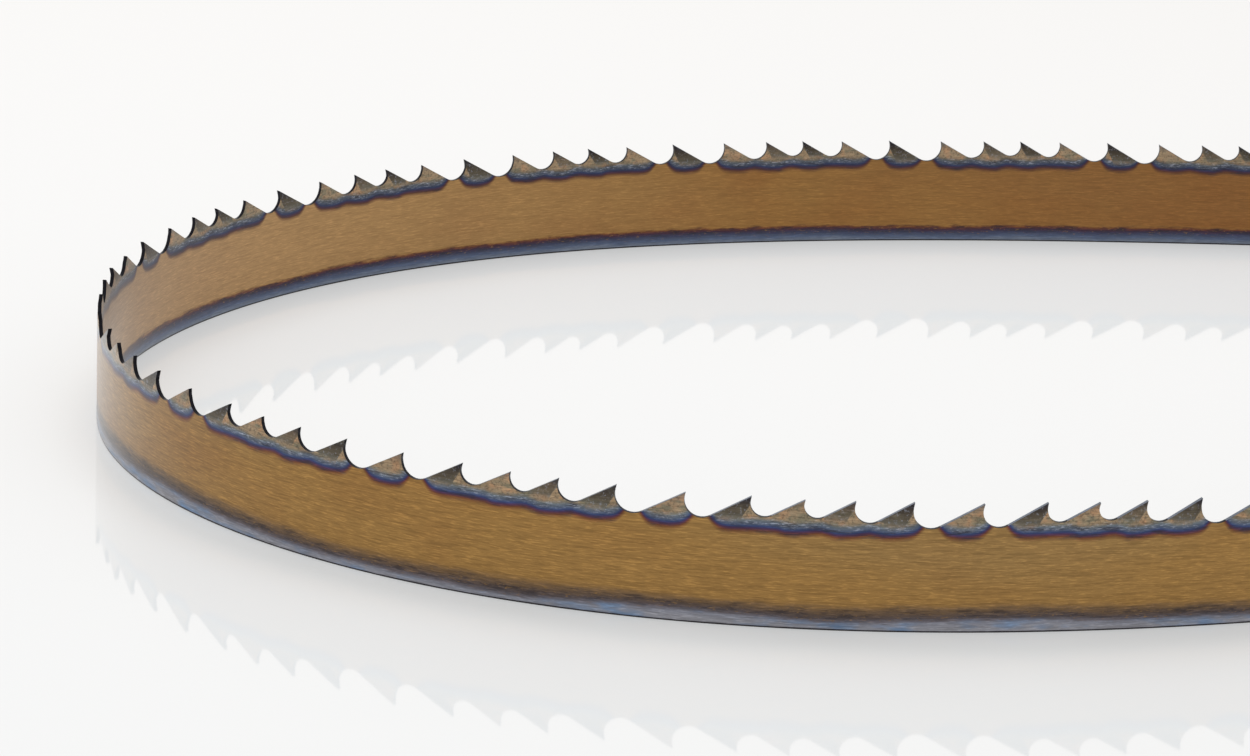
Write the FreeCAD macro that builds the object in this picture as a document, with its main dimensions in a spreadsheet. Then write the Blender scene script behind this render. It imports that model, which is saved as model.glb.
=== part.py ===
"""Band saw blade: one endless steel band with set, hook-shaped teeth along its top edge.

The band stands on its back edge as an oval ring. Its toothed outline is drawn flat, as
lines and arcs over the distance along the band and the height above its back edge. It is
then wrapped on the inner and the outer face of the ring, and closed by the cut edges.
"""
import FreeCAD, Part
import Surface
import bisect
import math
import os
from FreeCAD import Vector

Vector2d = FreeCAD.Base.Vector2d
Line2d = Part.Geom2d.Line2dSegment
Arc2d = Part.Geom2d.ArcOfCircle2d
Circle2d = Part.Geom2d.Circle2d

# Sizes of the blade: millimetres, degrees and plain shares
SIZES = {
    "band_width": 34.0,            # back edge to tooth tips
    "band_thickness": 1.1,
    "back_chamfer": 0.15,          # eased corners of the back edge
    "tooth_groups": 23,            # each group has one straight and four set teeth
    "pitch_after_straight": 14.65,  # tip to tip, in the direction in which the teeth cut
    "pitch_after_first_in": 17.45,
    "pitch_after_first_out": 16.35,
    "pitch_after_second_in": 13.25,
    "pitch_after_second_out": 12.55,
    "gullet_share": 0.384,         # depth of a gullet over its own pitch
    "rake_angle": 10.0,            # lean of the tooth face
    "back_angle": 29.5,            # rise of the tooth back
    "set_offset": 0.375,           # sideways reach of a set tip past the band's face
    "bend_face_share": 0.42,       # where the bend meets the tooth face, over the gullet depth
    "bend_corner_share": 0.9,      # depth of the bend's corner, over the gullet depth
    "bend_corner_back": 2.0,       # the corner's distance behind the tip
    "loop_width_share": 0.5044,    # half width over half length of the plain oval
    "loop_egg_share": -0.28,       # makes one end of the oval blunter than the other
    "loop_fullness_share": 0.1897,  # squares both ends
    "loop_nose_share": 0.1765,     # squares the far end more than the blunt end
    "first_tooth": 70.9,           # first straight tooth, along the band from the +X end
    "sewing_tolerance": 0.001,
}

# Sideways set of the teeth of a group: none, in and out in turn
GROUP_SET = (0, -1, 1, -1, 1)

TABLE_STEPS = 7200      # steps of the table of lengths round the loop
SPLINE_POINTS = 4       # spline points of the loop for each group of teeth
PATCH_POINTS = 5        # spline points along one bent tooth


def make_sheet(doc):
    """Put the sizes into the document's spreadsheet."""
    sheet = doc.addObject("Spreadsheet::Sheet", "sizes")
    for row, (name, value) in enumerate(SIZES.items(), start=1):
        sheet.set(f"A{row}", name)
        sheet.set(f"B{row}", str(value))
        sheet.setAlias(f"B{row}", name)
    doc.recompute()
    return sheet


class Loop:
    """The band's centre line: an oval, measured by the distance along it from its start."""

    def __init__(self, sheet, length, start):
        self.sheet = sheet
        self.length = length
        self.start = start
        self.half_length = 1.0
        self.angles = [2 * math.pi * i / TABLE_STEPS for i in range(TABLE_STEPS + 1)]
        self.half_length = length / self.distances()[-1]
        self.table = self.distances()

    def at_angle(self, angle):
        """Point of the oval and its outward normal."""
        sheet, cos, sin = self.sheet, math.cos(angle), math.sin(angle)
        width = self.half_length * sheet.loop_width_share
        egg, full, nose = sheet.loop_egg_share, sheet.loop_fullness_share, sheet.loop_nose_share
        bulge = 1 + cos * (egg + cos * (full + cos * nose))
        slope = egg + cos * (2 * full + 3 * cos * nose)
        point = Vector(self.half_length * cos, width * sin * bulge, 0)
        tangent = Vector(-self.half_length * sin, width * (cos * bulge - sin * sin * slope), 0)
        return point, Vector(tangent.y, -tangent.x, 0).normalize()

    def distances(self):
        """Distance along the oval to each angle of the table."""
        total, result = 0.0, [0.0]
        last = self.at_angle(0.0)[0]
        for angle in self.angles[1:]:
            point = self.at_angle(angle)[0]
            total += point.distanceToPoint(last)
            result.append(total)
            last = point
        return result

    def at(self, distance):
        """Point and outward normal at a distance along the band."""
        wanted = (distance + self.start) % self.length
        i = min(max(bisect.bisect_right(self.table, wanted), 1), TABLE_STEPS)
        part = (wanted - self.table[i - 1]) / (self.table[i] - self.table[i - 1])
        return self.at_angle(self.angles[i - 1] + part * (self.angles[i] - self.angles[i - 1]))

    def face_curve(self, offset, points):
        """Closed spline of a band face: its parameter is the distance along the band."""
        places = [self.length * i / points for i in range(points + 1)]
        curve = Part.BSplineCurve()
        spots = [point + normal * offset for point, normal in map(self.at, places[:-1])]
        curve.interpolate(Points=spots, PeriodicFlag=True, Parameters=places)
        return curve


class Gap:
    """Flat outline from one tooth's tip, down its face, round the gullet and up the next back."""

    def __init__(self, sheet, tip, pitch):
        rake, back = math.radians(sheet.rake_angle), math.radians(sheet.back_angle)
        self.top = sheet.band_width
        self.tip, self.pitch = tip, pitch
        self.depth = sheet.gullet_share * pitch
        # The gullet's arc touches the face, the next back and the gullet's depth
        reach = pitch * math.sin(back) - self.depth * (math.cos(back) - math.sin(back) * math.tan(rake))
        spread = 1 - math.cos(back) + math.sin(back) * (1 / math.cos(rake) + math.tan(rake))
        self.radius = reach / spread
        drop = self.depth - self.radius
        ahead = self.radius / math.cos(rake) - drop * math.tan(rake)
        self.centre = Vector2d(tip + ahead, self.top - drop)
        self.face_end = math.pi - rake
        self.back_start = 1.5 * math.pi + back
        bend_depth = max(sheet.bend_face_share * self.depth, drop - self.radius * math.sin(rake))
        self.bend = math.pi + math.asin((bend_depth - drop) / self.radius)

    def on_arc(self, angle):
        """Point of the gullet's arc."""
        return Vector2d(self.centre.x + self.radius * math.cos(angle),
                        self.centre.y + self.radius * math.sin(angle))

    def foot(self):
        """Where the gullet ends and the next tooth's back starts."""
        return self.on_arc(self.back_start)

    def arc(self, start, end):
        """Stretch of the gullet's arc between two angles."""
        return Arc2d(Circle2d(self.centre, self.radius), start, end)


class Tooth:
    """One tooth: its tip, the gap ahead of its face and the gap behind its back."""

    def __init__(self, sheet, behind, ahead, side):
        self.side = side
        self.behind, self.ahead = behind, ahead
        self.tip = Vector2d(ahead.tip, ahead.top)
        self.foot = behind.foot()
        self.face_end = ahead.on_arc(ahead.face_end)
        self.bend_front = ahead.on_arc(ahead.bend)
        depth = sheet.bend_corner_share * (behind.depth + ahead.depth) / 2
        self.corner = Vector2d(ahead.tip - sheet.bend_corner_back, ahead.top - depth)

    def base_outline(self):
        """Outline of the unbent metal, from the tooth's foot to its gullet's end."""
        end = self.ahead.back_start
        if self.side == 0:
            return self.back() + self.face() + [self.ahead.arc(self.ahead.face_end, end)]
        return [Line2d(self.foot, self.corner), Line2d(self.corner, self.bend_front),
                self.ahead.arc(self.ahead.bend, end)]

    def back(self):
        return [Line2d(self.foot, self.tip)]

    def face(self):
        return [Line2d(self.tip, self.face_end)]

    def face_with_bend(self):
        """Face and the bent part of the gullet below it."""
        return self.face() + [self.ahead.arc(self.ahead.face_end, self.ahead.bend)]

    def bent_panels(self):
        """The two panels of a bent tooth, each with its outline, its fold and its cut edges."""
        ridge = Line2d(self.tip, self.corner)
        rear = [Line2d(self.corner, self.foot)] + self.back() + [ridge]
        front = [ridge, Line2d(self.corner, self.bend_front)] + self.face_with_bend()
        return ((rear, (self.corner, self.foot), self.back()),
                (front, (self.bend_front, self.corner), self.face_with_bend()))


def bent_surface(loop, curve, offset, tooth, fold):
    """Band face tilted about a fold, so that the tooth's tip stands out by the set."""
    start, end = fold
    across = Vector2d(start.y - end.y, end.x - start.x)

    def height(along, up):
        return (along - start.x) * across.x + (up - start.y) * across.y

    full = height(tooth.tip.x, tooth.tip.y)
    low, high = tooth.foot.x, tooth.ahead.on_arc(tooth.ahead.bend).x + tooth.ahead.radius
    places = [low + (high - low) * i / (PATCH_POINTS - 1) for i in range(PATCH_POINTS)]
    levels = (tooth.tip.y - tooth.ahead.depth - tooth.behind.depth, tooth.tip.y)
    rows = []
    for level in levels:
        spots = []
        for place in places:
            push = offset * height(place, level) / full
            spot = curve.value(place % loop.length) + loop.at(place)[1] * push
            spots.append(Vector(spot.x, spot.y, level))
        row = Part.BSplineCurve()
        row.interpolate(Points=spots, Parameters=places)
        rows.append(row)
    surface = Part.BSplineSurface()
    poles = [list(pair) for pair in zip(rows[0].getPoles(), rows[1].getPoles())]
    surface.buildFromPolesMultsKnots(poles, rows[0].getMultiplicities(), [2, 2],
                                     rows[0].getKnots(), list(levels), False, False,
                                     rows[0].Degree, 1)
    return surface


def face_patch(curve, begin, end, top):
    """Band face between two distances: its parameters are the distance and the height."""
    piece = curve.copy()
    piece.segment(begin, end)
    poles = [[pole, Vector(pole.x, pole.y, top)] for pole in piece.getPoles()]
    surface = Part.BSplineSurface()
    surface.buildFromPolesMultsKnots(poles, piece.getMultiplicities(), [2, 2],
                                     piece.getKnots(), [0, top], False, False,
                                     piece.Degree, 1)
    return surface


def wrapped_face(surface, outline):
    """Face bounded by a flat outline that is wrapped on a surface."""
    return Part.Face(surface, Part.Wire([line.toShape(surface) for line in outline]))


def cut_faces(outer, inner, outline):
    """Cut edges of the band between its two faces, one for each line of the outline."""
    return [Part.makeRuledSurface(line.toShape(outer), line.toShape(inner)) for line in outline]


def tooth_groups(sheet, pitches):
    """Groups of teeth over the flat length of the band, and the first tip's distance along it.

    The flat length starts at the foot of the first tooth's back.
    """
    first_tip = pitches[-1] - Gap(sheet, 0.0, pitches[-1]).foot().x
    groups = []
    for group in range(int(sheet.tooth_groups)):
        tips = [first_tip + group * sum(pitches) + sum(pitches[:i]) for i in range(len(pitches))]
        gaps = [Gap(sheet, tip, pitch) for tip, pitch in zip(tips, pitches)]
        behind = [Gap(sheet, tips[0] - pitches[-1], pitches[-1])] + gaps[:-1]
        groups.append([Tooth(sheet, rear, gap, side)
                       for rear, gap, side in zip(behind, gaps, GROUP_SET)])
    return groups, first_tip


def tooth_faces(sheet, loop, tooth, curves, surfaces):
    """Cut edges of a tooth and its gullet, and the panels of a bent tooth."""
    if tooth.side == 0:
        return cut_faces(*surfaces, tooth.base_outline())
    faces = cut_faces(*surfaces, tooth.base_outline()[-1:])
    for outline, fold, cut_lines in tooth.bent_panels():
        bent = [bent_surface(loop, curve, tooth.side * sheet.set_offset, tooth, fold)
                for curve in curves]
        faces += [wrapped_face(surface, outline) for surface in bent]
        faces += cut_faces(*bent, cut_lines)
    return faces


def chamfer_lines(surface, low_surface, begin, end, chamfer):
    """Upper and lower line of the chamfer that eases one corner of the back edge."""
    top = Line2d(Vector2d(begin, chamfer), Vector2d(end, chamfer)).toShape(surface)
    return top, Line2d(Vector2d(begin, 0), Vector2d(end, 0)).toShape(low_surface)


def band_faces(sheet):
    """Every face of the blade, one group of teeth after the other, and the flat back edge."""
    pitches = [getattr(sheet, name) for name in SIZES if name.startswith("pitch_")]
    groups, first_tip = tooth_groups(sheet, pitches)
    loop = Loop(sheet, sum(pitches) * len(groups), sheet.first_tooth - first_tip)
    half, chamfer = sheet.band_thickness / 2, sheet.back_chamfer
    points = SPLINE_POINTS * len(groups)
    curves = [loop.face_curve(offset, points) for offset in (half, -half)]
    low_curves = [loop.face_curve(offset, points) for offset in (half - chamfer, chamfer - half)]
    faces, rims = [], ([], [])
    for number, group in enumerate(groups):
        begin, end = number * sum(pitches), (number + 1) * sum(pitches)
        surfaces = [face_patch(curve, begin, end, sheet.band_width) for curve in curves]
        foot = group[0].foot.y
        corners = [Vector2d(end, foot), Vector2d(end, chamfer), Vector2d(begin, chamfer),
                   Vector2d(begin, foot)]
        outline = [line for tooth in group for line in tooth.base_outline()]
        outline += [Line2d(*pair) for pair in zip(corners, corners[1:])]
        faces += [wrapped_face(surface, outline) for surface in surfaces]
        for tooth in group:
            faces += tooth_faces(sheet, loop, tooth, curves, surfaces)
        for surface, low_curve, rim in zip(surfaces, low_curves, rims):
            low = face_patch(low_curve, begin, end, sheet.band_width)
            top, bottom = chamfer_lines(surface, low, begin, end, chamfer)
            faces.append(Part.makeRuledSurface(top, bottom))
            rim.append(bottom)
    back = Part.makeFace([Part.Wire(rim) for rim in rims], "Part::FaceMakerBullseye")
    return faces + [back]


def sewn_solid(doc, sheet, faces):
    """Join the faces into a closed shell, and the shell into a solid."""
    loose = doc.addObject("Part::Feature", "band_faces")
    loose.Shape = Part.Compound(faces)
    shell = doc.addObject("Surface::Sewing", "band_shell")
    shell.ShapeList = [(loose, [f"Face{number}" for number in range(1, len(faces) + 1)])]
    shell.setExpression("Tolerance", f"{sheet.Name}.sewing_tolerance")
    doc.recompute()
    if len(shell.Shape.Shells) != 1 or not shell.Shape.Shells[0].isClosed():
        raise RuntimeError("the band's faces leave a gap")
    solid = Part.Solid(shell.Shape.Shells[0])
    if solid.Volume < 0:
        solid.reverse()
    return solid


def main():
    doc = FreeCAD.newDocument("band_saw_blade")
    sheet = make_sheet(doc)
    band = doc.addObject("Part::Feature", "saw_band")
    band.Label = "saw_band"
    band.Shape = sewn_solid(doc, sheet, band_faces(sheet))
    doc.recompute()
    for item in doc.Objects:
        if {"Invalid", "Error"} & set(item.State):
            raise RuntimeError(f"{item.Label} failed: {item.State}")
    if band.Shape.isNull() or not band.Shape.isValid() or len(band.Shape.Solids) != 1:
        raise RuntimeError("the band is not one valid solid")
    os.makedirs("parts", exist_ok=True)
    band.Shape.exportStep(f"parts/{band.Label}.step")
    box = band.Shape.BoundBox
    print(f"{band.Label}: {box.XLength:.1f} x {box.YLength:.1f} x {box.ZLength:.1f} mm,",
          f"volume {band.Shape.Volume:.0f} mm3, {len(band.Shape.Faces)} faces")


main()
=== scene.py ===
"""Band saw blade: the finished look of an endless toothed steel band, standing on its back edge.

The band is drawn flat, as one group of five teeth, and is given its thickness and the bends
of its set teeth. The group is then repeated and bent round the blade's oval loop.
"""

import bisect
import math

import bmesh
import bpy
from bpy.props import FloatProperty, FloatVectorProperty, IntProperty
from mathutils import Matrix, Vector


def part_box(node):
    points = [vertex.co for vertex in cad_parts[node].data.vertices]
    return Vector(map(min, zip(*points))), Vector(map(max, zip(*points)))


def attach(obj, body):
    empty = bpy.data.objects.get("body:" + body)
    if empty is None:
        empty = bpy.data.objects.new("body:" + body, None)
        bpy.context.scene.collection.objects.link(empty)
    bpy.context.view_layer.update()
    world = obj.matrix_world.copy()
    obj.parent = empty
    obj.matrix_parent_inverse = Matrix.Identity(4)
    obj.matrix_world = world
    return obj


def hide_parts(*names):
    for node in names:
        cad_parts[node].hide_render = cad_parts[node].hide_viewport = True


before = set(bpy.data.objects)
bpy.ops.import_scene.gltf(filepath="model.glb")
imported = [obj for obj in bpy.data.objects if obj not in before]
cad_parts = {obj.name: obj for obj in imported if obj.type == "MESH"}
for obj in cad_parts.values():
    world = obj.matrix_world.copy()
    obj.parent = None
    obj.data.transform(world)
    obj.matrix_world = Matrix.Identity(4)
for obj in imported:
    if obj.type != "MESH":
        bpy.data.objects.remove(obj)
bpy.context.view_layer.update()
BAND_NODE = "saw_band"
BAND_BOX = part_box(BAND_NODE)

bl_info = {
    "name": "Band Saw Blade",
    "version": (1, 0, 0),
    "blender": (4, 5, 0),
    "location": "3D View > Sidebar > Blade",
    "description": "Makes an endless band saw blade and the stage that it stands on",
    "category": "Add Mesh",
}

MM = 0.001
TABLE_STEPS = 7200              # steps of the table of lengths round the loop
ARC_STEPS = 14                  # edges round one gullet
COLUMN = 3 * MM                 # spacing of the cuts across the band
SNAP = 0.25 * MM                # a cut this near to a corner runs through it
WELD = 0.001 * MM               # corners this near to each other are joined
TOOTH_ZONE = 8 * MM             # height of the band that holds the teeth and their bends
CUT_CORNER = math.radians(25)   # cut edges that meet at a larger angle have a sharp corner
FOLD = math.radians(0.5)        # faces that meet at a larger angle have a fold between them
SAME_WAY = 0.9999               # cosine from which two directions count as the same
GROUP_SET = (0, -1, 1, -1, 1)   # sideways set of the teeth of a group, out of the loop is +
FACE, CUT, BACK, RIDGE = range(4)       # material slots of the band, in their order

# Temper colours, at heights from 0 at the back edge to 1 at the tooth tips
BOWL_LOW = (0.716, 0.724, 0.726, 0.736, 0.722)  # lower limit of the blue zone under each tooth
BOWL_BEHIND = 4.5 * MM          # the lowest point of a bowl lies this far behind the tip
ARCH = 0.744                    # limit of the blue zone at the middle of a shallow gullet
DEEP_PITCH = 16 * MM            # gullets of a larger pitch reach down to the bronze
BLUE_DEPTH = 0.135              # height over which the blue turns into the teeth's colour
MIDDLE = 0.4                    # where the lower colours give way to the upper ones
STAIN_ZONE = 0.075              # height of the stain that reaches above the back zone
BACK_ZONE = 0.17                # height of the coloured zone along the back edge
RIM = 0.016                     # height of the dark line at the very bottom
# SHADE is painted shade: the face of a tooth that looks up is darkest
SHADE = {-1: 1.0, 0: 0.8, 1: 0.12}      # darkness of a tooth's face, by where it leans
STREAK = (0.55, 0.53, 0.5)      # what a dull streak leaves of the colour
SCRATCH = (1.6, 1.6, 1.6)       # how much a scratch brightens it

LAMP_PLACE = Vector((-0.3, 0.5, 1.5))   # the lamp looks from here at the middle of the loop
GLOW_FROM = 0.55                # the glow ahead starts 57 degrees from +Y and is full at 28
CAMERA_PLACE = (-0.4957, -1.1052)
CAMERA_REACH = (0.01, 100)      # nearest and farthest that the camera sees
SENSOR = 36                     # width of the camera's sensor in millimetres


def tone(red, green, blue):
    """A colour written as it looks on a screen, from 0 to 255, as the light that it stands for."""
    def light(value):
        part = value / 255
        return part / 12.92 if part <= 0.04045 else ((part + 0.055) / 1.055) ** 2.4
    return light(red), light(green), light(blue)


def colour(name, description, red, green, blue):
    """A colour that the user can change, given as it looks on a screen."""
    return FloatVectorProperty(name=name, description=description, subtype="COLOR", size=3,
                               min=0, max=1, default=tone(red, green, blue))


def length(name, description, millimetres):
    """A length that the user can change."""
    return FloatProperty(name=name, description=description, unit="LENGTH",
                         default=millimetres * MM, precision=5)


def angle(name, description, degrees):
    """An angle that the user can change."""
    return FloatProperty(name=name, description=description, subtype="ANGLE",
                         default=math.radians(degrees))


def share(name, description, value):
    """A plain number that the user can change."""
    return FloatProperty(name=name, description=description, default=value)


class BladeSizes(bpy.types.PropertyGroup):
    """Sizes of the band and its teeth."""
    width: FloatProperty(name="Band width", description="From the back edge to the tooth tips",
                         unit="LENGTH", default=BAND_BOX[1].z - BAND_BOX[0].z)
    thickness: length("Band thickness", "Between the two faces", 1.1)
    groups: IntProperty(name="Tooth groups", description="Groups of five teeth", default=23)
    pitch_after_straight: length("Pitch after the straight tooth", "Tip to tip", 14.65)
    pitch_after_first_in: length("Pitch after the first inward tooth", "Tip to tip", 17.45)
    pitch_after_first_out: length("Pitch after the first outward tooth", "Tip to tip", 16.35)
    pitch_after_second_in: length("Pitch after the second inward tooth", "Tip to tip", 13.25)
    pitch_after_second_out: length("Pitch after the second outward tooth", "Tip to tip", 12.55)
    gullet_share: share("Gullet depth", "Depth of a gullet over its own pitch", 0.384)
    rake: angle("Rake angle", "Lean of the tooth face", 10)
    back: angle("Back angle", "Rise of the tooth back", 29.5)
    set_offset: length("Set", "Sideways reach of a set tip past the face", 0.375)
    bend_face: share("Bend on the face", "Where the bend meets the face, over the depth", 0.42)
    bend_corner: share("Bend corner", "Depth of the bend's corner over the depth", 0.9)
    bend_back: length("Bend set back", "The corner's distance behind the tip", 2.0)
    edge_ease: length("Eased cut edge", "Width of the worn corner along the teeth", 0.06)
    back_ease: length("Eased back edge", "Width of the chamfers of the back edge", 0.15)
    slimness: share("Slimness", "Half width over half length of the loop", 0.5044)
    egg: share("Egg", "Makes one end of the loop blunter", -0.28)
    fullness: share("Fullness", "Squares both ends of the loop", 0.1897)
    nose: share("Nose", "Squares the far end more", 0.1765)
    first_tooth: length("First tooth", "First straight tooth, along the band from +X", 70.9)


class BladeFinish(bpy.types.PropertyGroup):
    """Colours of the tempered steel."""
    bronze: colour("Bronze", "Satin body of the band", 155, 118, 64)
    warm_bronze: colour("Warm bronze", "Body where it was heated more", 138, 92, 46)
    olive_bronze: colour("Olive bronze", "Broad, duller patches of the body", 146, 118, 74)
    # Painted sheen: paler bronze inside the loop, at its blunt end
    painted_sheen_bronze: colour("Pale bronze", "Inside the loop, at its blunt end", 176, 140, 98)
    deep_bronze: colour("Deep bronze", "Darkest part inside the loop", 104, 66, 34)
    red_brown: colour("Red brown", "Where the blue zone meets the bronze", 112, 66, 42)
    purple: colour("Purple", "Lower part of the blue zone", 76, 48, 78)
    blue: colour("Blue", "Middle of the blue zone", 50, 65, 108)
    light_blue: colour("Light blue", "Upper part of the blue zone", 80, 92, 116)
    grey_blue: colour("Grey blue", "Where the blue zone meets the teeth", 104, 112, 118)
    smear: colour("Smear", "Dark smears in the blue zone", 50, 48, 60)
    sage: colour("Sage", "Greenish grey at the foot of a tooth", 122, 118, 98)
    straw: colour("Straw", "Body of a light tooth", 162, 139, 110)
    peach: colour("Peach", "Warm patches on a light tooth", 184, 142, 106)
    warm_grey: colour("Warm grey", "Tip of a light tooth", 104, 96, 96)
    frost: colour("Frost", "Pale flecks", 190, 196, 214)
    # Painted shade on the face of a tooth that looks up, from its foot to its tip; the middle one
    # also gives the dark specks of a light tooth, and the tip one also darkens the blue zone
    # inside the loop
    olive_grey: colour("Olive grey", "Foot of a shaded tooth", 96, 94, 86)
    umber: colour("Umber", "Above the foot of a shaded tooth", 94, 86, 72)
    speck_and_mid_shade: colour("Ash", "Middle of a shaded tooth", 76, 68, 58)
    tip_shade_and_inner_dark: colour("Soot", "Tip of a shaded tooth", 44, 41, 46)
    tan: colour("Tan", "Upper part of the stain above the back edge", 128, 100, 66)
    smudge: colour("Smudge", "Middle of the stain", 102, 83, 66)
    stain: colour("Stain", "Darkest part of the stain", 88, 79, 80)
    grey: colour("Grey", "Upper side of the strip along the back edge", 110, 106, 114)
    pale_grey: colour("Pale grey", "Middle of the strip", 140, 143, 156)
    silver: colour("Silver", "Lower side of the strip", 152, 153, 162)
    sky: colour("Sky blue", "Blue patches of the strip", 98, 138, 182)
    plum: colour("Plum", "Upper side of the strip inside the loop", 66, 44, 62)
    ink: colour("Ink blue", "Darkest blue of the strip inside the loop", 62, 66, 92)
    steel_blue: colour("Steel blue", "Middle of the strip inside the loop", 88, 102, 130)
    pale_blue: colour("Pale blue", "Lower side of the strip inside the loop", 118, 128, 144)
    grime: colour("Grime", "Dark smears on the strip", 50, 43, 44)
    rim: colour("Rim", "Line at the very bottom of the faces", 46, 44, 48)
    edge: colour("Cut edge", "Gullets and tooth faces", 50, 50, 56)
    edge_grain: colour("Cut edge grain", "Darker grain of the cut edges", 22, 21, 24)
    worn: colour("Worn ridge", "Pale top of a tooth's back", 140, 146, 162)
    slate: colour("Slate", "Darker parts of that ridge", 98, 104, 112)
    back_grain: colour("Back edge grain", "Dull grain of the back edge", 50, 48, 52)


class BladeStage(bpy.types.PropertyGroup):
    """Floor, light and camera."""
    floor: colour("Floor", "Pale floor under its gloss", 238, 242, 245)
    gloss: colour("Gloss", "Tint of the mirror image in the floor", 255, 240, 228)
    gloss_index: share("Gloss index", "Refractive index: more makes a stronger mirror image", 2.1)
    gloss_blur: share("Gloss blur", "Roughness of the floor's gloss", 0.04)
    backdrop: colour("Backdrop", "Pale colour that is seen in the floor", 252, 252, 250)
    paleness: share("Paleness", "How much of the pale colour is seen", 0.32)
    floor_size: length("Floor size", "Side of the square floor", 16000)
    world_light: share("Room light", "Brightness of the soft light from all round", 0.72)
    glow: share("Glow ahead", "Light that the room has more on the side ahead of the camera", 0.13)
    lamp_size: length("Lamp size", "Side of the square lamp overhead", 1600)
    lamp_power: FloatProperty(name="Lamp power", description="Of the lamp overhead",
                              unit="POWER", default=14)
    camera_height: length("Camera height", "Above the floor", 367.1)
    heading: angle("Heading", "Direction of the view, clockwise from +Y", 15.2346)
    pitch: angle("Pitch", "Downward tilt of the camera", 17.2059)
    roll: angle("Roll", "Turn of the camera about its view", 2.7036)
    focal: FloatProperty(name="Focal length", description="On a 36 mm wide sensor",
                         unit="CAMERA", default=121.05)


class Loop:
    """Centre line of the band: an oval, measured by the distance along it from its start."""

    def __init__(self, sizes, whole, start):
        self.sizes, self.whole, self.start = sizes, whole, start
        self.angles = [math.tau * i / TABLE_STEPS for i in range(TABLE_STEPS + 1)]
        self.half_length = 1.0      # an oval of this size is measured, and then scaled
        self.half_length = whole / self.distances()[-1]
        self.table = self.distances()

    def at_angle(self, turn):
        """Point of the oval and its outward normal."""
        sizes, cos, sin = self.sizes, math.cos(turn), math.sin(turn)
        width = self.half_length * sizes.slimness
        bulge = 1 + cos * (sizes.egg + cos * (sizes.fullness + cos * sizes.nose))
        slope = sizes.egg + cos * (2 * sizes.fullness + 3 * cos * sizes.nose)
        point = Vector((self.half_length * cos, width * sin * bulge, 0))
        along = Vector((-self.half_length * sin, width * (cos * bulge - sin * sin * slope), 0))
        return point, Vector((along.y, -along.x, 0)).normalized()

    def distances(self):
        """Distance along the oval to each angle of the table."""
        points = [self.at_angle(turn)[0] for turn in self.angles]
        result = [0.0]
        for point, last in zip(points[1:], points):
            result.append(result[-1] + (point - last).length)
        return result

    def at(self, distance):
        """Point and outward normal at a distance along the band."""
        wanted = (distance + self.start) % self.whole
        i = min(max(bisect.bisect_right(self.table, wanted), 1), TABLE_STEPS)
        part = (wanted - self.table[i - 1]) / (self.table[i] - self.table[i - 1])
        return self.at_angle(self.angles[i - 1] + part * (self.angles[i] - self.angles[i - 1]))


class Gap:
    """Flat outline from one tooth's tip, down its face, round the gullet to the next foot."""

    def __init__(self, sizes, tip, pitch):
        self.pitch, self.top = pitch, sizes.width
        self.depth = sizes.gullet_share * pitch
        sin, cos, lean = math.sin(sizes.back), math.cos(sizes.back), math.tan(sizes.rake)
        # the arc touches the tooth face, the line at full depth and the next tooth's back
        reach = pitch * sin - self.depth * (cos - sin * lean)
        self.radius = reach / (1 - cos + sin * (1 / math.cos(sizes.rake) + lean))
        self.drop = self.depth - self.radius
        ahead = self.radius / math.cos(sizes.rake) - self.drop * lean
        self.tip = Vector((tip, 0, self.top))
        self.centre = Vector((tip + ahead, 0, self.top - self.drop))
        self.face_end = math.pi - sizes.rake
        self.foot_turn = 1.5 * math.pi + sizes.back

    def on_arc(self, turn):
        """Point of the gullet's arc."""
        return self.centre + self.radius * Vector((math.cos(turn), 0, math.sin(turn)))

    def foot(self):
        """Where the gullet ends and the next tooth's back starts."""
        return self.on_arc(self.foot_turn)


class Bend:
    """The two folds that set a tooth aside, and how far each point of the tooth moves."""

    def __init__(self, sizes, behind, ahead, side):
        self.side, self.push = side, side * sizes.set_offset
        self.tip, self.foot, self.limit = ahead.tip, behind.foot(), ahead.centre.x
        arc_start = ahead.drop - ahead.radius * math.sin(sizes.rake)
        level = max(sizes.bend_face * ahead.depth, arc_start)
        self.front = ahead.on_arc(math.pi + math.asin((level - ahead.drop) / ahead.radius))
        depth = sizes.bend_corner * (behind.depth + ahead.depth) / 2
        self.corner = Vector((self.tip.x - sizes.bend_back, 0, ahead.top - depth))

    def folds(self):
        """Lines to cut: the two folds and the ridge between the two panels."""
        return ((self.foot, self.corner), (self.front, self.corner), (self.tip, self.corner))

    @staticmethod
    def above(point, line):
        """Signed distance of a point from a line."""
        start, along = line[0], (line[1] - line[0]).normalized()
        return (point.x - start.x) * -along.z + (point.z - start.z) * along.x

    def holds(self, point):
        """Whether a point lies between the tooth's foot and its gullet."""
        return self.foot.x <= point.x <= self.limit

    def is_behind(self, point):
        """Whether a point lies on the rear one of the tooth's two panels."""
        return self.above(point, self.folds()[2]) * self.above(self.foot, self.folds()[2]) > 0

    def rise(self, point, behind):
        """Height of a point above the fold of a panel, as a share of the tip's."""
        fold = self.folds()[0 if behind else 1]
        return self.above(point, fold) / self.above(self.tip, fold)

    def offset(self, point):
        """Sideways move of a point of the tooth."""
        if not self.holds(point):
            return 0.0
        return self.push * max(self.rise(point, self.is_behind(point)), 0.0)


def tooth_gaps(sizes):
    """The gaps of one group of teeth, which starts at the foot of its straight tooth."""
    pitches = [sizes.pitch_after_straight, sizes.pitch_after_first_in,
               sizes.pitch_after_first_out, sizes.pitch_after_second_in,
               sizes.pitch_after_second_out]
    tip = pitches[-1] - Gap(sizes, 0.0, pitches[-1]).foot().x
    gaps = []
    for pitch in pitches:
        gaps.append(Gap(sizes, tip, pitch))
        tip += pitch
    return gaps, sum(pitches)


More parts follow.
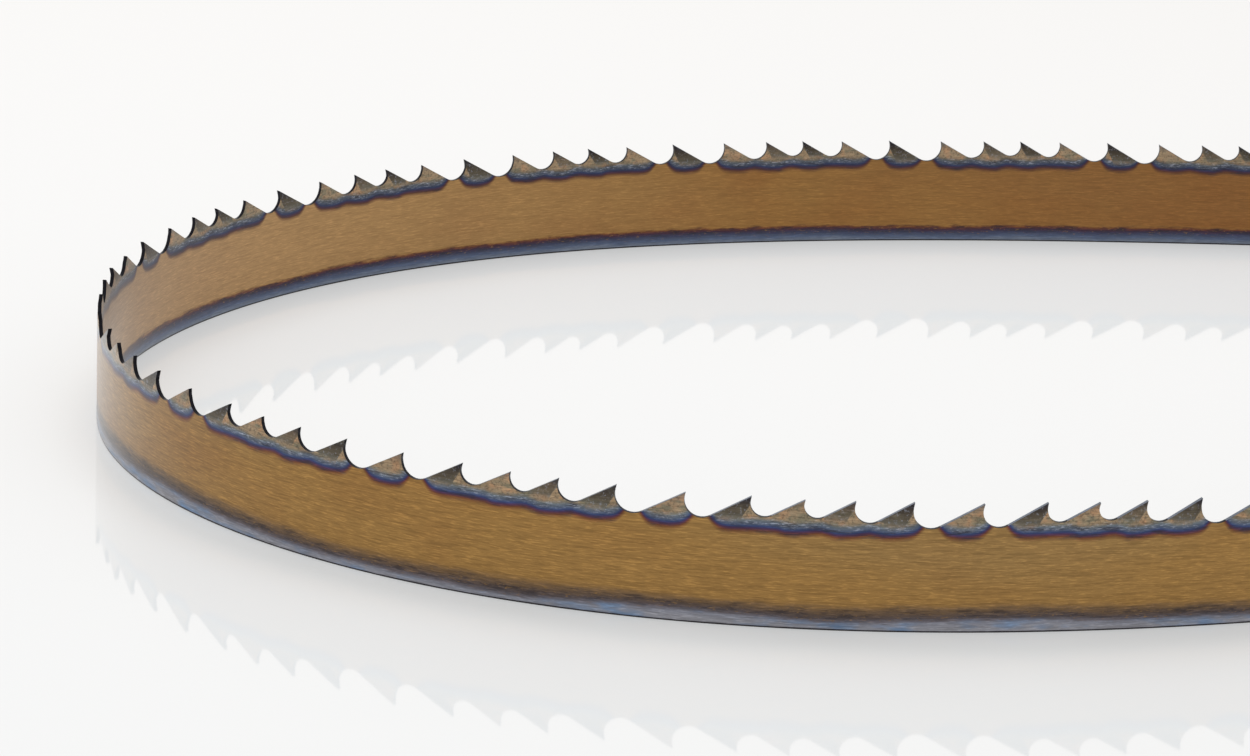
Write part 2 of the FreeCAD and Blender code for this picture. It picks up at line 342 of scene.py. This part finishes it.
def bends(sizes, gaps, group_length):
    """The bends of the teeth of one group: the straight tooth has one of no size."""
    last = Gap(sizes, gaps[-1].tip.x - group_length, gaps[-1].pitch)
    rows = zip([last] + gaps[:-1], gaps, GROUP_SET)
    return [Bend(sizes, behind, ahead, side) for behind, ahead, side in rows]


def draw_on(bm, vert, place):
    """Draw a straight line on from a vertex to a place."""
    new = bmesh.ops.extrude_vert_indiv(bm, verts=[vert])["verts"][0]
    new.co = place
    return new


def draw_arc(bm, vert, gap):
    """Draw a gullet's arc on from the end of the tooth face."""
    turn = gap.foot_turn - gap.face_end
    made = bmesh.ops.spin(bm, geom=[vert], cent=gap.centre, axis=(0, -1, 0), dvec=(0, 0, 0),
                          angle=turn, steps=ARC_STEPS, use_duplicate=False)
    return [item for item in made["geom_last"] if isinstance(item, bmesh.types.BMVert)][0]


def flat_outline(bm, gaps, group_length):
    """One group of teeth as a single flat face: x along the band and z up."""
    foot = gaps[-1].foot() - Vector((group_length, 0, 0))
    first = vert = bm.verts.new(foot)
    for gap in gaps:
        vert = draw_on(bm, vert, gap.tip)
        vert = draw_on(bm, vert, gap.on_arc(gap.face_end))
        vert = draw_arc(bm, vert, gap)
    vert = draw_on(bm, vert, (group_length, 0, 0))
    vert = draw_on(bm, vert, (0, 0, 0))
    bmesh.ops.contextual_create(bm, geom=[vert, first])
    bmesh.ops.contextual_create(bm, geom=bm.edges[:])


def cut(bm, faces, point, across):
    """Cut faces along a plane."""
    edges = {edge for face in faces for edge in face.edges}
    verts = {vert for face in faces for vert in face.verts}
    bmesh.ops.bisect_plane(bm, geom=list(faces) + list(edges) + list(verts), dist=SNAP,
                           plane_co=point, plane_no=across)


def cut_columns(bm, sizes, group_length):
    """Cut the flat group into narrow columns, and its toothed zone from its body."""
    count = round(group_length / COLUMN)
    for i in range(1, count):
        cut(bm, bm.faces[:], (group_length * i / count, 0, 0), (1, 0, 0))
    cut(bm, bm.faces[:], (0, 0, sizes.width - TOOTH_ZONE), (0, 0, 1))


def cut_folds(bm, sizes, bend):
    """Cut the folds of a tooth into the toothed zone."""
    for start, end in bend.folds():
        along = (end - start).normalized()
        tooth = [face for face in bm.faces
                 if bend.foot.x < face.calc_center_bounds().x < bend.limit
                 and face.calc_center_bounds().z > sizes.width - TOOTH_ZONE]
        cut(bm, tooth, start, (-along.z, 0, along.x))


def thicken(bm, sizes, group_length):
    """Give the flat group its thickness and leave its two ends open."""
    bmesh.ops.translate(bm, verts=bm.verts[:], vec=(0, -sizes.thickness / 2, 0))
    made = bmesh.ops.extrude_face_region(bm, geom=bm.faces[:] + bm.edges[:] + bm.verts[:])
    verts = [item for item in made["geom"] if isinstance(item, bmesh.types.BMVert)]
    bmesh.ops.translate(bm, verts=verts, vec=(0, sizes.thickness, 0))
    bmesh.ops.recalc_face_normals(bm, faces=bm.faces[:])
    ends = [face for face in bm.faces
            if all(vert.co.x < SNAP for vert in face.verts)
            or all(vert.co.x > group_length - SNAP for vert in face.verts)]
    bmesh.ops.delete(bm, geom=ends, context="FACES_ONLY")
    loose = [edge for edge in bm.edges if not edge.link_faces]
    bmesh.ops.delete(bm, geom=loose, context="EDGES")


def mark_faces(bm, sizes, bend_list, group_length):
    """Store what the finish needs at each corner of each face, and the face's material.

    A tooth's face that looks up, away from the floor, gets a painted shade; one that looks down
    hardly does.
    """
    place = bm.loops.layers.uv.new("tooth_group")
    rise = bm.loops.layers.float.new("rise")
    shade = bm.loops.layers.float.new("shade")
    panel = bm.loops.layers.float.new("rear_panel")
    outer = bm.loops.layers.float.new("outer")
    ridge_normal = Vector((-math.sin(sizes.back), 0, math.cos(sizes.back)))
    for face in bm.faces:
        face.material_index = CUT
        side = round(face.normal.y)
        if side:
            face.material_index = FACE
        elif face.normal.z < -SAME_WAY:
            face.material_index = BACK
        elif face.normal.dot(ridge_normal) > SAME_WAY:
            face.material_index = RIDGE
        middle = face.calc_center_median()
        in_zone = middle.z > sizes.width - TOOTH_ZONE
        tooth = [bend for bend in bend_list if in_zone and bend.holds(middle)]
        for loop in face.loops:
            spot = loop.vert.co
            loop[place].uv = (spot.x / group_length, spot.z / sizes.width)
            loop[outer] = side      # 1 outside the loop and -1 inside
            for bend in tooth:
                behind = bend.is_behind(middle)
                loop[rise] = bend.rise(spot, behind)
                loop[panel] = behind
                # painted shade, by how the tooth's face leans
                loop[shade] = SHADE[bend.side * side]


def mark_edges(bm, sizes):
    """Mark the edges to ease, and the sharp ones among the cut edges."""
    ease = bm.edges.layers.float.new("bevel_weight_edge")
    for edge in bm.edges:
        if len(edge.link_faces) == 2:
            one, other = edge.link_faces
            if (one.material_index == FACE) != (other.material_index == FACE):
                on_back = BACK in (one.material_index, other.material_index)
                edge[ease] = 1.0 if on_back else sizes.edge_ease / sizes.back_ease
            elif one.normal.angle(other.normal) > CUT_CORNER:
                edge.smooth = False


def set_teeth(bm, bend_list):
    """Bend the set teeth aside and keep their folds crisp."""
    for vert in bm.verts:
        vert.co.y += sum(bend.offset(vert.co) for bend in bend_list)
    bm.normal_update()
    for edge in bm.edges:
        if len(edge.link_faces) == 2:
            one, other = edge.link_faces
            if one.material_index == FACE == other.material_index:
                edge.smooth = one.normal.angle(other.normal) < FOLD


def repeat_groups(bm, sizes, group_length):
    """Repeat the group along the flat band and join the copies."""
    first = bm.verts[:] + bm.edges[:] + bm.faces[:]
    for group in range(1, sizes.groups):
        made = bmesh.ops.duplicate(bm, geom=first)["geom"]
        verts = [item for item in made if isinstance(item, bmesh.types.BMVert)]
        bmesh.ops.translate(bm, verts=verts, vec=(group * group_length, 0, 0))
    bmesh.ops.remove_doubles(bm, verts=bm.verts[:], dist=WELD)


def close_loop(bm, loop):
    """Bend the flat band round the loop and join its two ends."""
    for vert in bm.verts:
        point, outward = loop.at(vert.co.x)
        place = point + outward * vert.co.y
        vert.co = (place.x, place.y, vert.co.z)
    bmesh.ops.remove_doubles(bm, verts=bm.verts[:], dist=WELD)
    if any(len(edge.link_faces) != 2 for edge in bm.edges):
        raise RuntimeError("the band isn't closed")
    bmesh.ops.recalc_face_normals(bm, faces=bm.faces[:])


def band_mesh(sizes):
    """The whole band as a mesh."""
    gaps, group_length = tooth_gaps(sizes)
    bend_list = bends(sizes, gaps, group_length)
    whole = group_length * sizes.groups
    bm = bmesh.new()
    flat_outline(bm, gaps, group_length)
    cut_columns(bm, sizes, group_length)
    for bend in bend_list:
        cut_folds(bm, sizes, bend)
    thicken(bm, sizes, group_length)
    mark_faces(bm, sizes, bend_list, group_length)
    mark_edges(bm, sizes)
    set_teeth(bm, bend_list)
    repeat_groups(bm, sizes, group_length)
    close_loop(bm, Loop(sizes, whole, sizes.first_tooth - gaps[0].tip.x))
    mesh = bpy.data.meshes.new("blade_band")
    bm.to_mesh(mesh)
    bm.free()
    return mesh


class Socket:
    """A shader value: sums on it add the Math nodes that work them out."""

    def __init__(self, shader, link):
        self.shader, self.link = shader, link

    def sum(self, operation, *values, clamp=False):
        """One Math node."""
        settings = {"operation": operation, "use_clamp": clamp}
        return self.shader.node("ShaderNodeMath", settings, *values)

    def __add__(self, other):
        return self.sum("ADD", self, other)

    __radd__ = __add__

    def __sub__(self, other):
        return self.sum("SUBTRACT", self, other)

    def __rsub__(self, other):
        return self.sum("SUBTRACT", other, self)

    def __mul__(self, other):
        return self.sum("MULTIPLY", self, other)

    __rmul__ = __mul__

    def __truediv__(self, other):
        return self.sum("DIVIDE", self, other)

    def __rtruediv__(self, other):
        return self.sum("DIVIDE", other, self)

    def clamped(self):
        """The value, held between 0 and 1."""
        return self.sum("ADD", self, 0.0, clamp=True)

    def above(self, level, slope):
        """0 below a level, and rising to 1 above it."""
        return ((self - level) * slope).clamped()

    def below(self, level, slope):
        """0 above a level, and rising to 1 below it."""
        return ((level - self) * slope).clamped()


class Shader:
    """A material, or the world, and its nodes."""

    def __init__(self, name, kind="materials", output="ShaderNodeOutputMaterial"):
        self.owner = getattr(bpy.data, kind).new(name)
        self.owner.use_nodes = True
        self.nodes = self.owner.node_tree.nodes
        self.links = self.owner.node_tree.links
        self.nodes.clear()
        self.last = output

    def node(self, kind, settings=None, *values, output=None, **named):
        """A node of a kind: its settings, then the values or links of its sockets.

        Values by place go to the sockets that the settings leave open, and the first open
        output is taken where none is named.
        """
        node = self.nodes.new(kind)
        for name, value in (settings or {}).items():
            if name == "stops":
                self.set_stops(node.color_ramp, value)
            elif name == "spread":
                node.color_ramp.interpolation = value
            else:
                setattr(node, name, value)
        entries = [entry for entry in node.inputs if entry.enabled]
        for entry, value in zip(entries, values):
            self.feed(entry, value)
        for name, value in named.items():
            self.feed(node.inputs[name.replace("_", " ")], value)
        if output:
            return Socket(self, node.outputs[output])
        results = [result for result in node.outputs if result.enabled]
        return Socket(self, results[0] if results else None)

    def feed(self, entry, value):
        """Link a socket, or set its value."""
        if isinstance(value, Socket):
            self.links.new(value.link, entry)
        elif entry.type == "RGBA":
            entry.default_value = (*value, 1)
        else:
            entry.default_value = value

    @staticmethod
    def set_stops(ramp, stops):
        """Set the stops of a colour ramp: places in rising order, each with a colour or number."""
        while len(ramp.elements) < len(stops):
            ramp.elements.new(0.5)
        for element, (place, value) in zip(ramp.elements, stops):
            element.position = place
            shown = value if hasattr(value, "__len__") else (value, value, value)
            element.color = (*shown, 1)

    def place(self, scale):
        """The object's coordinates in metres, times a scale for x, y and z."""
        where = self.node("ShaderNodeTexCoord", output="Object")
        return self.node("ShaderNodeMapping", {"vector_type": "POINT"}, where, Scale=scale)

    def noise(self, scale, detail=2.0, roughness=0.5):
        """Noise from 0 to 1, of so many grains to the metre along x, y and z."""
        return self.node("ShaderNodeTexNoise", {"noise_dimensions": "3D"},
                         Vector=self.place(scale), Scale=1.0, Detail=detail,
                         Roughness=roughness)

    def ramp(self, factor, stops, spread="LINEAR"):
        """A colour ramp, read at a value."""
        return self.node("ShaderNodeValToRGB", {"spread": spread, "stops": stops}, factor)

    def mix(self, factor, one, other, blend="MIX"):
        """Mix of two colours."""
        return self.node("ShaderNodeMix", {"data_type": "RGBA", "blend_type": blend},
                         factor, one, other)

    def finish(self, **sockets):
        """End the material in one shader."""
        return self.output(self.node("ShaderNodeBsdfPrincipled", None, **sockets))

    def output(self, surface):
        """Make a shader the last one of the material or the world."""
        self.node(self.last, None, surface)
        return self.owner


def blue_zone_limit(sizes):
    """Lower limit of the blue zone along one group, as heights over the band's width.

    It hangs in a bowl under each tooth, and leaves the metal at the two deepest gullets.
    """
    gaps, group_length = tooth_gaps(sizes)
    stops = []
    for gap, low in zip(gaps, BOWL_LOW):
        edge = 1 - gap.depth / sizes.width
        # millimetres to both sides of the gullet's middle, and the limit there
        deep = ((1.2, edge + 0.05), (3.2, edge - 0.045), (5.2, low + 0.014))
        shallow = ((0.6, ARCH), (3.5, low + 0.008))
        stops.append((gap.tip.x - BOWL_BEHIND, low))
        for beside, level in deep if gap.pitch > DEEP_PITCH else shallow:
            stops.append((gap.centre.x - beside * MM, level))
            stops.append((gap.centre.x + beside * MM, level))
    stops = sorted((place % group_length / group_length, level) for place, level in stops)
    return [(0.0, stops[-1][1])] + stops


def bronze_body(shader, finish, east, inner, cloud, haze):
    """Bronze of the body, which inside the loop has a painted sheen at the blunt end and is dark
    at the other.
    """
    warmth = ((east * 3.2 + (cloud - 0.5) * 0.8 + 0.8) * inner).clamped()
    bronze = shader.mix(warmth, finish.bronze, finish.warm_bronze)
    bronze = shader.mix(cloud.above(0.5, 4) * 0.3, bronze, finish.warm_bronze)
    bronze = shader.mix(haze.above(0.48, 5) * (0.5 - inner * 0.35), bronze, finish.olive_bronze)
    # painted sheen, paler inside the loop at its blunt end
    bronze = shader.mix(east.below(-0.1, 5) * inner * 0.7, bronze, finish.painted_sheen_bronze)
    return shader.mix(east.above(0.1, 5) * inner, bronze, finish.deep_bronze)


def tooth_colours(shader, finish, rise, panel, shade):
    """Colour of the teeth, and how much of it is painted shade.

    The light teeth are a mottled straw. Those that lean away are darker with a painted shade, with
    a crisp border at the fold of the front panel and a soft one on the rear panel.
    """
    patch = shader.noise((330, 330, 330), detail=2.0)
    grain = shader.noise((1300, 1300, 1300), detail=3.0, roughness=0.75)
    green = shader.noise((260, 260, 500), detail=2.0)
    light = shader.mix(patch.above(0.5, 6) * 0.8, finish.straw, finish.peach)
    light = shader.mix(green.above(0.48, 6) * 0.85, light, finish.sage)
    light = shader.mix(grain.below(0.5, 8) * 0.6, light, finish.speck_and_mid_shade)
    light = shader.mix(rise.above(0.55, 2.5) * 0.6, light, finish.warm_grey)
    # painted shade of a tooth that leans away, darker toward its tip
    dark = shader.ramp(rise, [(0.0, finish.olive_grey), (0.2, finish.umber),
                              (0.5, finish.speck_and_mid_shade), (0.85, finish.tip_shade_and_inner_dark)])
    dark = shader.mix(patch.above(0.52, 5) * 0.3, dark, finish.sage)
    dark = shader.mix(grain.above(0.56, 8) * 0.35, dark, finish.frost)
    crisp = ((rise + (grain - 0.5) * 0.1) * 9).clamped()
    soft = (rise + (grain - 0.5) * 0.3).above(-0.32, 2.6)
    amount = (crisp + panel * (soft - crisp)) * shade
    return shader.mix(amount, light, dark), amount


def upper_zone(shader, finish, bronze, tint, inner, marks, teeth):
    """Blue zone under the teeth: red brown, purple, blue and a speckled grey blue."""
    smear, fleck = marks
    tooth, shaded = teeth
    zone = shader.ramp(tint, [(0.0, finish.red_brown), (0.13, finish.purple),
                              (0.25, finish.blue), (0.38, finish.light_blue),
                              (0.58, finish.grey_blue), (0.8, finish.sage)])
    zone = shader.mix(smear.above(0.5, 8) * 0.7, zone, finish.smear)
    zone = shader.mix(inner * 0.4, zone, finish.tip_shade_and_inner_dark)
    flecks = fleck.above(0.53, 10) * tint.above(0.25, 4)
    zone = shader.mix(flecks * 0.45, zone, finish.frost)
    upper = shader.mix(tint.above(-0.24, 4), bronze, zone)
    upper = shader.mix(tint.above(0.58, 3.5), upper, tooth)
    # the painted shade of a tooth reaches a little lower into the blue zone
    return shader.mix(shaded * tint.above(0.3, 4), upper, tooth)


def lower_zone(shader, finish, bronze, low, rim, inner, marks):
    """Strip along the back edge: stained and grey outside the loop, crisp and blue inside."""
    smear, fleck = marks
    broad = (low * BACK_ZONE + STAIN_ZONE) / (BACK_ZONE + STAIN_ZONE)
    stained = shader.ramp(broad, [(0.0, finish.bronze), (0.2, finish.tan),
                                  (0.38, finish.smudge), (0.54, finish.stain),
                                  (0.64, finish.grey), (0.74, finish.pale_grey),
                                  (0.93, finish.silver)])
    patch = shader.noise((80, 80, 260), detail=3.0)
    blue = patch.above(0.48, 5) * low.above(0.42, 4)
    stained = shader.mix(blue * 0.75, stained, finish.sky)
    crisp = shader.ramp(low, [(0.0, finish.bronze), (0.1, finish.red_brown),
                              (0.26, finish.plum), (0.42, finish.ink),
                              (0.68, finish.steel_blue), (0.9, finish.pale_blue)])
    lower = shader.mix(inner, stained, crisp)
    grime = smear.above(0.48, 7) * low.below(0.75, 3) * low.above(-0.2, 2.5)
    lower = shader.mix(grime * 0.65, lower, finish.grime)
    bare = fleck.above(0.58, 9) * low.below(0.7, 3)
    lower = shader.mix(bare * 0.6, lower, finish.bronze)
    start = (low + 0.06) * 5 * inner + broad * 4 * (1 - inner)
    lower = shader.mix(start.clamped(), bronze, lower)
    return shader.mix(rim, lower, finish.rim)


def tempered_face(sizes, finish):
    """Satin face of the band: bronze, with a blue zone under the teeth and a blue back edge."""
    shader = Shader("tempered_face")
    place = shader.node("ShaderNodeUVMap", {"uv_map": "tooth_group"})
    along = shader.node("ShaderNodeSeparateXYZ", None, place, output="X")
    height = shader.node("ShaderNodeSeparateXYZ", None, place, output="Y")
    rise, panel, shade, outer = (
        shader.node("ShaderNodeAttribute", {"attribute_name": name}, output="Fac")
        for name in ("rise", "rear_panel", "shade", "outer"))
    where = shader.node("ShaderNodeTexCoord", output="Object")
    east = shader.node("ShaderNodeSeparateXYZ", None, where, output="X")
    inner = 0.5 - outer * 0.5       # 1 inside the loop and 0 outside

    streak = shader.noise((125, 125, 2200), detail=4.0, roughness=0.65)
    scratch = shader.noise((330, 330, 3600), detail=2.0, roughness=0.6)
    cloud = shader.noise((26, 26, 40), detail=3.0)
    haze = shader.noise((9, 9, 34), detail=2.0)
    smear = shader.noise((150, 150, 900), detail=4.0, roughness=0.7)
    fleck = shader.noise((600, 600, 2600), detail=3.0, roughness=0.7)
    bronze = bronze_body(shader, finish, east, inner, cloud, haze)
    teeth = tooth_colours(shader, finish, rise, panel, shade)

    limit = shader.ramp(along, blue_zone_limit(sizes), "B_SPLINE")
    tint = (height - limit + (cloud - 0.5) * 0.008 + (smear - 0.5) * 0.012) / BLUE_DEPTH
    upper = upper_zone(shader, finish, bronze, tint, inner, (smear, fleck), teeth)
    sag = (haze - 0.46) * (1 - inner) * 0.2
    low = (BACK_ZONE - height + sag + (smear - 0.5) * 0.07 + (cloud - 0.5) * 0.06) / BACK_ZONE
    rim = (height - (smear - 0.5) * 0.008).below(RIM, 200)
    lower = lower_zone(shader, finish, bronze, low, rim, inner, (smear, fleck))
    body = shader.mix(height.above(MIDDLE, 20), lower, upper)

    dull = shader.mix(1.0, body, STREAK, "MULTIPLY")
    body = shader.mix(streak.above(0.46, 6) * (0.52 - inner * 0.2), body, dull)
    bright = shader.mix(1.0, body, SCRATCH, "MULTIPLY")
    body = shader.mix(scratch.above(0.52, 7) * (0.7 - inner * 0.2), body, bright)
    rough = 0.33 + (streak - 0.5) * 0.14 + (cloud - 0.5) * 0.08
    bump = shader.node("ShaderNodeBump", None, Strength=0.3, Distance=0.03 * MM,
                       Height=streak + scratch * 0.5)
    return shader.finish(Base_Color=body, Metallic=1.0, Roughness=rough, Normal=bump,
                         Coat_Weight=1.0, Coat_Roughness=0.25, Coat_IOR=1.25)


def cut_edge(finish):
    """Ground and heat-darkened steel of the tooth faces and the gullets."""
    shader = Shader("cut_edge")
    grind = shader.noise((900, 900, 900), detail=3.0)
    dull = shader.mix(grind, finish.edge, finish.edge_grain)
    return shader.finish(Base_Color=dull, Metallic=1.0, Roughness=0.4 + (grind - 0.5) * 0.2)


def tooth_ridge(finish):
    """Worn, pale top of the tooth backs."""
    shader = Shader("tooth_ridge")
    wear = shader.noise((700, 700, 700), detail=3.0)
    pale = shader.mix(wear, finish.worn, finish.slate)
    return shader.finish(Base_Color=pale, Metallic=1.0, Roughness=0.28 + (wear - 0.5) * 0.2)


def back_edge(finish):
    """Rolled and blued back edge."""
    shader = Shader("back_edge")
    grain = shader.noise((200, 200, 200), detail=3.0)
    blued = shader.mix(grain, finish.blue, finish.back_grain)
    return shader.finish(Base_Color=blued, Metallic=1.0, Roughness=0.35 + (grain - 0.5) * 0.2)


class BLADE_OT_band(bpy.types.Operator):
    """Make the toothed band"""
    bl_idname = "blade.band"
    bl_label = "Toothed band"
    bl_options = {"REGISTER", "UNDO"}

    def execute(self, context):
        sizes, finish = context.scene.blade_sizes, context.scene.blade_finish
        mesh = band_mesh(sizes)
        mesh.polygons.foreach_set("use_smooth", [True] * len(mesh.polygons))
        materials = {FACE: tempered_face(sizes, finish), CUT: cut_edge(finish),
                     BACK: back_edge(finish), RIDGE: tooth_ridge(finish)}
        for slot in sorted(materials):
            mesh.materials.append(materials[slot])
        band = bpy.data.objects.new("blade_band", mesh)
        context.scene.collection.objects.link(band)
        ease = band.modifiers.new("eased edges", "BEVEL")
        ease.limit_method, ease.width, ease.segments = "WEIGHT", sizes.back_ease, 2
        ease.use_clamp_overlap = False
        flat = band.modifiers.new("flat faces", "WEIGHTED_NORMAL")
        flat.mode, flat.keep_sharp, flat.weight = "FACE_AREA", True, 100
        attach(band, "root")
        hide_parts(BAND_NODE)
        return {"FINISHED"}


class BLADE_OT_stage(bpy.types.Operator):
    """Make the floor, the light and the camera"""
    bl_idname = "blade.stage"
    bl_label = "Stage"
    bl_options = {"REGISTER", "UNDO"}

    def execute(self, context):
        stage = context.scene.blade_stage
        self.make_floor(context, stage)
        self.make_light(context, stage)
        self.make_camera(context, stage)
        context.scene.view_settings.view_transform = "Standard"
        return {"FINISHED"}

    def make_floor(self, context, stage):
        """A pale, lacquered floor, whose own pale colour shows through its light and shade."""
        bm = bmesh.new()
        bmesh.ops.create_grid(bm, x_segments=1, y_segments=1, size=stage.floor_size / 2)
        mesh = bpy.data.meshes.new("floor")
        bm.to_mesh(mesh)
        bm.free()
        shader = Shader("glossy_floor")
        matt = shader.node("ShaderNodeBsdfDiffuse", None, stage.floor)
        gloss = shader.node("ShaderNodeBsdfGlossy", None, stage.gloss,
                             Roughness=stage.gloss_blur)
        mirror = shader.node("ShaderNodeFresnel", None, stage.gloss_index)
        lacquer = shader.node("ShaderNodeMixShader", None, mirror, matt, gloss)
        pale = shader.node("ShaderNodeEmission", None, stage.backdrop)
        rays = [shader.node("ShaderNodeLightPath", output=f"Is {kind} Ray")
                for kind in ("Camera", "Glossy", "Transmission")]
        seen = (rays[0] + rays[1] + rays[2]).clamped()
        mixed = shader.node("ShaderNodeMixShader", None, seen * stage.paleness, lacquer, pale)
        mesh.materials.append(shader.output(mixed))
        floor = bpy.data.objects.new("floor", mesh)
        context.scene.collection.objects.link(floor)

    def make_light(self, context, stage):
        """Soft light from all round, and a lamp overhead for the shadow on the floor."""
        shader = Shader("studio", "worlds", "ShaderNodeOutputWorld")
        toward = shader.node("ShaderNodeTexCoord", output="Generated")
        ahead = shader.node("ShaderNodeSeparateXYZ", None, toward, output="Y")
        glow = ahead.above(GLOW_FROM, 3) * stage.glow
        room = shader.node("ShaderNodeBackground", None, (1, 1, 1), glow + stage.world_light)
        context.scene.world = shader.output(room)
        lamp = bpy.data.lights.new("overhead", "AREA")
        lamp.shape, lamp.size, lamp.energy = "SQUARE", stage.lamp_size, stage.lamp_power
        holder = bpy.data.objects.new("overhead", lamp)
        holder.location = LAMP_PLACE
        holder.rotation_euler = (-LAMP_PLACE).to_track_quat("-Z", "Y").to_euler()
        holder.visible_glossy = False       # the floor would mirror its square shape
        context.scene.collection.objects.link(holder)

    def make_camera(self, context, stage):
        """A camera turned by its heading, then its pitch, then its roll."""
        ahead = Vector((math.sin(stage.heading), math.cos(stage.heading), 0))
        right = Vector((ahead.y, -ahead.x, 0))
        up = Vector((0, 0, 1))
        view = ahead * math.cos(stage.pitch) - up * math.sin(stage.pitch)
        over = ahead * math.sin(stage.pitch) + up * math.cos(stage.pitch)
        side = right * math.cos(stage.roll) + over * math.sin(stage.roll)
        top = over * math.cos(stage.roll) - right * math.sin(stage.roll)
        place = Vector((*CAMERA_PLACE, stage.camera_height))
        turn = Matrix((side, top, -view)).transposed().to_4x4()
        lens = bpy.data.cameras.new("camera")
        lens.lens, lens.sensor_width = stage.focal, SENSOR
        lens.clip_start, lens.clip_end = CAMERA_REACH
        camera = bpy.data.objects.new("camera", lens)
        camera.matrix_world = Matrix.Translation(place) @ turn
        context.scene.collection.objects.link(camera)
        context.scene.camera = camera


class BLADE_PT_panel(bpy.types.Panel):
    """Buttons and sizes of the blade"""
    bl_idname = "BLADE_PT_panel"
    bl_label = "Band saw blade"
    bl_space_type = "VIEW_3D"
    bl_region_type = "UI"
    bl_category = "Blade"

    def draw(self, context):
        """One box for each group of properties, with the button that uses them."""
        for name, operator in (("sizes", "band"), ("finish", None), ("stage", "stage")):
            group = getattr(context.scene, "blade_" + name)
            box = self.layout.box()
            for prop in group.bl_rna.properties:
                if not prop.is_readonly and prop.identifier not in ("rna_type", "name"):
                    box.prop(group, prop.identifier)
            if operator:
                box.operator("blade." + operator)


GROUPS = {"blade_sizes": BladeSizes, "blade_finish": BladeFinish, "blade_stage": BladeStage}
CLASSES = (*GROUPS.values(), BLADE_OT_band, BLADE_OT_stage, BLADE_PT_panel)


def register():
    for item in CLASSES:
        bpy.utils.register_class(item)
    for name, group in GROUPS.items():
        setattr(bpy.types.Scene, name, bpy.props.PointerProperty(type=group))


def unregister():
    for name in GROUPS:
        delattr(bpy.types.Scene, name)
    for item in reversed(CLASSES):
        bpy.utils.unregister_class(item)


def main():
    """Make everything."""
    register()
    bpy.ops.blade.band()
    bpy.ops.blade.stage()


if __name__ == "__main__":
    main()
